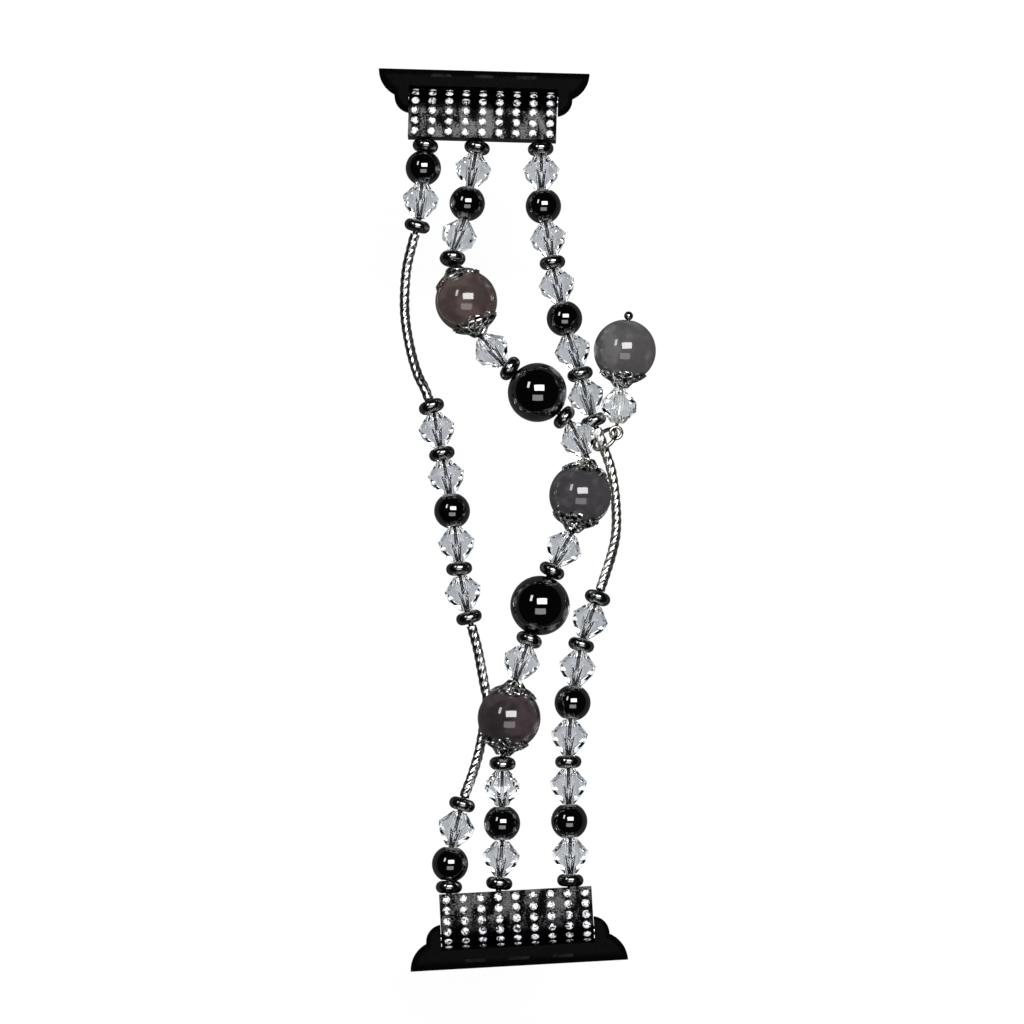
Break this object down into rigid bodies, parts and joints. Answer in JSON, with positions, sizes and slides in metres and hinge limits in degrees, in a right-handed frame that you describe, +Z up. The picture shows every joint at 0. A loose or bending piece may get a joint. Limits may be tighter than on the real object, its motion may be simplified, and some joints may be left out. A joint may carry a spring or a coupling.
{
  "type": "beaded elastic watch band",
  "caption": "Beaded elastic watch band: three strands of crystal, glass, agate and twisted tube beads between two stone-set hinged end plates with slide-in watch connectors, with a bead charm.",
  "frame": {"origin": "centre of the band laid flat, on the table it lies on", "axes": "+Y along the band towards the end with the charm above the middle, +Z up out of the decorated side, +X to the right seen from above; the strap strands run along Y"},
  "size_m": [0.046, 0.1496, 0.0107],
  "materials": {
    "connector_black": "gloss",
    "latch_metal": "satin",
    "steel": "satin",
    "plate_metal": "polished",
    "rhinestone": "faceted",
    "elastic_cord": "satin",
    "hematite": "polished",
    "clear_crystal": "faceted",
    "black_glass": "gloss",
    "tube_dark": "polished, twisted cuts",
    "tube_bright": "polished, twisted cuts",
    "cap_metal": "polished filigree",
    "charm_wire": "polished",
    "brown_agate": "polished banded stone",
    "grey_agate": "polished banded stone",
    "dark_agate": "polished banded stone",
    "smoke_agate": "polished banded stone"
  },
  "bodies": {
    "stretch_3": {"spacers_3": "hematite", "crystals_3": "clear_crystal", "black_beads_3": "black_glass", "tube_right": "tube_bright", "bead_caps_middle": "cap_metal", "elastic_left": "elastic_cord", "elastic_middle": "elastic_cord", "elastic_right": "elastic_cord"},
    "stretch_2": {"spacers_2": "hematite", "crystals_2": "clear_crystal", "black_beads_2": "black_glass", "tube_upper": "tube_dark", "bead_caps_upper": "cap_metal"},
    "stretch_1": {"spacers_1": "hematite", "crystals_1": "clear_crystal", "black_beads_1": "black_glass"},
    "plate_top": {"end_plate_top": "plate_metal", "stones_top": "rhinestone"},
    "connector_top": {"connector_top": "connector_black", "side_pads_top": "latch_metal", "hinge_pin_top": "steel", "latch_spring_top": "steel"},
    "latch_top": {"latch_top": "latch_metal"},
    "stretch_4": {"spacers_4": "hematite", "crystals_4": "clear_crystal", "black_beads_4": "black_glass", "tube_lower": "tube_dark", "bead_caps_lower": "cap_metal"},
    "stretch_5": {"spacers_5": "hematite", "crystals_5": "clear_crystal", "black_beads_5": "black_glass"},
    "plate_bottom": {"end_plate_bottom": "plate_metal", "stones_bottom": "rhinestone"},
    "connector_bottom": {"connector_bottom": "connector_black", "side_pads_bottom": "latch_metal", "hinge_pin_bottom": "steel", "latch_spring_bottom": "steel"},
    "latch_bottom": {"latch_bottom": "latch_metal"},
    "agate_upper": {"agate_upper": "brown_agate"},
    "big_bead_upper": {"big_bead_upper": "black_glass"},
    "agate_middle": {"agate_middle": "grey_agate"},
    "big_bead_lower": {"big_bead_lower": "black_glass"},
    "agate_lower": {"agate_lower": "dark_agate"},
    "charm_ring": {"charm_ring": "charm_wire"},
    "charm": {"charm_pin": "charm_wire", "charm_crystal": "clear_crystal", "charm_cap": "cap_metal"},
    "charm_agate": {"charm_agate": "smoke_agate"}
  },
  "joints": [
    {"name": "upper_bend_inner", "type": "hinge", "parent": "stretch_3", "child": "stretch_2", "pos_m": [0.00206, 0.01625, 0.0016], "axis": [-1, 0.0074, 0], "range_deg": [0, 45], "deforming": ["elastic_left", "elastic_middle", "elastic_right"]},
    {"name": "upper_bend_outer", "type": "hinge", "parent": "stretch_2", "child": "stretch_1", "pos_m": [-0.0066, 0.04864, 0.0016], "axis": [-0.9997, 0.0233, 0], "range_deg": [0, 45]},
    {"name": "top_plate_bend", "type": "hinge", "parent": "stretch_1", "child": "plate_top", "pos_m": [-0.00571, 0.06223, 0.0016], "axis": [-0.9997, 0.0244, 0], "range_deg": [0, 30]},
    {"name": "top_pin_turn", "type": "hinge", "parent": "plate_top", "child": "connector_top", "pos_m": [-0.00554, 0.06933, 0.0015], "axis": [-0.9997, 0.0244, 0], "range_deg": [-20, 60]},
    {"name": "top_latch_press", "type": "slide", "parent": "connector_top", "child": "latch_top", "axis": [0, 0, -1], "range_m": [0, 0.0004], "stiffness_N_per_m": 200, "springref_m": -0.0005, "deforming": ["latch_spring_top"]},
    {"name": "lower_bend_inner", "type": "hinge", "parent": "stretch_3", "child": "stretch_4", "pos_m": [0.0027, -0.01571, 0.0016], "axis": [0.9985, 0.0545, 0], "range_deg": [0, 45]},
    {"name": "lower_bend_outer", "type": "hinge", "parent": "stretch_4", "child": "stretch_5", "pos_m": [-0.00061, -0.04823, 0.0016], "axis": [0.9979, 0.0641, 0], "range_deg": [0, 45]},
    {"name": "bottom_plate_bend", "type": "hinge", "parent": "stretch_5", "child": "plate_bottom", "pos_m": [0.00024, -0.06164, 0.0016], "axis": [0.9982, 0.0593, 0], "range_deg": [0, 30]},
    {"name": "bottom_pin_turn", "type": "hinge", "parent": "plate_bottom", "child": "connector_bottom", "pos_m": [0.00066, -0.06873, 0.0015], "axis": [0.9982, 0.0593, 0], "range_deg": [-20, 60]},
    {"name": "bottom_latch_press", "type": "slide", "parent": "connector_bottom", "child": "latch_bottom", "axis": [0, 0, -1], "range_m": [0, 0.0004], "stiffness_N_per_m": 200, "springref_m": -0.0005, "deforming": ["latch_spring_bottom"]},
    {"name": "agate_upper_spin", "type": "hinge", "parent": "stretch_2", "child": "agate_upper", "pos_m": [-0.00815, 0.03465, 0.00516], "axis": [0.3733, -0.9276, 0.0091], "continuous": true},
    {"name": "big_bead_upper_spin", "type": "hinge", "parent": "stretch_2", "child": "big_bead_upper", "pos_m": [0.00358, 0.01946, 0.00534], "axis": [0.7288, -0.6838, -0.0355], "continuous": true},
    {"name": "agate_middle_spin", "type": "hinge", "parent": "stretch_3", "child": "agate_middle", "pos_m": [0.01066, 0.00253, 0.00512], "axis": [-0.2078, -0.9781, 0.0107], "continuous": true},
    {"name": "big_bead_lower_spin", "type": "hinge", "parent": "stretch_4", "child": "big_bead_lower", "pos_m": [0.00412, -0.01558, 0.00507], "axis": [-0.2856, -0.9581, 0.0221], "continuous": true},
    {"name": "agate_lower_spin", "type": "hinge", "parent": "stretch_4", "child": "agate_lower", "pos_m": [-0.00084, -0.03396, 0.00561], "axis": [-0.1602, -0.9853, -0.0585], "continuous": true},
    {"name": "charm_ring_swing", "type": "hinge", "parent": "stretch_3", "child": "charm_ring", "pos_m": [0.01419, 0.01188, 0.0024], "axis": [0.3398, -0.9227, -0.182], "range_deg": [0, 30]},
    {"name": "charm_lift", "type": "hinge", "parent": "charm_ring", "child": "charm", "pos_m": [0.01653, 0.01312, 0.00347], "axis": [0.9945, -0.1045, 0], "range_deg": [0, 40]},
    {"name": "charm_agate_spin", "type": "hinge", "parent": "charm", "child": "charm_agate", "pos_m": [0.01793, 0.02648, 0.00518], "axis": [0.1037, 0.9866, 0.1262], "continuous": true}
  ]
}
